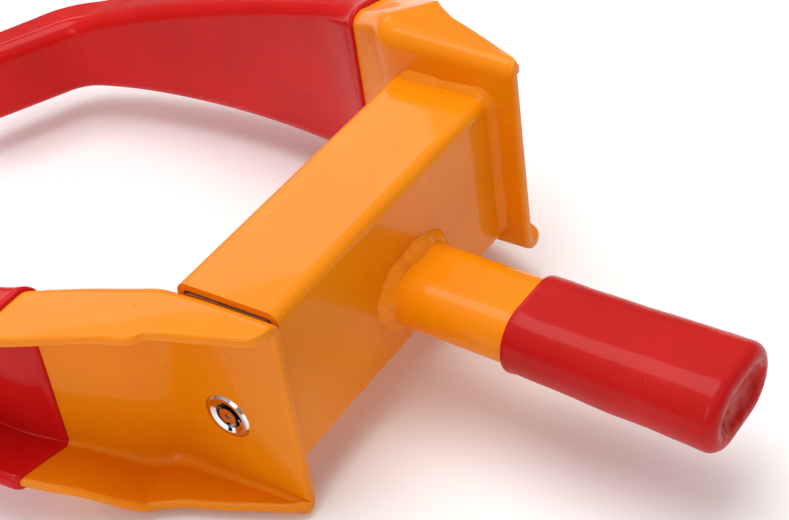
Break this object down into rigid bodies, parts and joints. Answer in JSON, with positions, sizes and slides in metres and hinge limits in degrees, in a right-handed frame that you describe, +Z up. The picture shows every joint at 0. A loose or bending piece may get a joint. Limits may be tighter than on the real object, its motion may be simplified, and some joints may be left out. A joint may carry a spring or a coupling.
{
  "type": "wheel clamp",
  "caption": "Claw-type wheel clamp: two pressed steel claws with red PVC ends on a telescoping tube, a flat-oval handle with a grip, and a round tubular-key lock in the sliding claw.",
  "frame": {"origin": "centre of the outer tube's face that bears on the tyre's tread", "axes": "+X along the tube, from the sliding claw to the fixed claw; +Y into the jaws, away from the handle; +Z up, towards the tube's top edge"},
  "size_m": [0.2291, 0.3778, 0.0965],
  "materials": {
    "enamel": "gloss orange-yellow enamel",
    "dip": "gloss dipped PVC",
    "grip": "soft gloss PVC",
    "steel": "plain",
    "chrome": "bright",
    "brass": "machined"
  },
  "bodies": {
    "frame": {"outer_tube": "enamel", "fixed_arm": "enamel", "fixed_arm_sleeve": "dip", "fixed_arm_weld": "enamel", "handle_tube": "enamel", "handle_weld": "enamel", "handle_grip": "grip", "rack_bar": "steel", "rack_weld": "steel", "travel_stop": "steel"},
    "slider": {"sliding_arm": "enamel", "sliding_arm_sleeve": "dip", "inner_tube": "steel", "inner_tube_weld": "steel", "lock_housing": "chrome", "lock_clip": "steel", "pin_sleeve": "brass", "sleeve_pin": "steel", "pin_springs": "steel", "bulkhead": "steel", "shaft_bush": "brass"},
    "rotor": {"lock_spindle": "steel", "drive_shaft": "steel", "latch_cam": "steel", "latch_pin": "steel", "shaft_clip": "steel"},
    "key_pins": {"front_pins": "brass"},
    "drivers": {"driver_pins": "steel"}
  },
  "joints": [
    {"name": "arm_slide", "type": "slide", "parent": "frame", "child": "slider", "axis": [-1, 0, 0], "range_m": [0, 0.09]},
    {"name": "lock_turn", "type": "hinge", "parent": "slider", "child": "rotor", "pos_m": [-0.0656, -0.0129, -0.0172], "axis": [-1, 0, 0], "range_deg": [0, 90]},
    {"name": "pin_press", "type": "slide", "parent": "rotor", "child": "key_pins", "axis": [1, 0, 0], "range_m": [0, 0.0012], "stiffness_N_per_m": 80, "springref_m": -0.001},
    {"name": "driver_press", "type": "slide", "parent": "slider", "child": "drivers", "axis": [1, 0, 0], "range_m": [0, 0.0012], "stiffness_N_per_m": 80, "springref_m": -0.001, "deforming": ["pin_springs"]}
  ],
  "couplings": [
    {"joint": "driver_press", "follows": "pin_press", "ratio": 1}
  ]
}
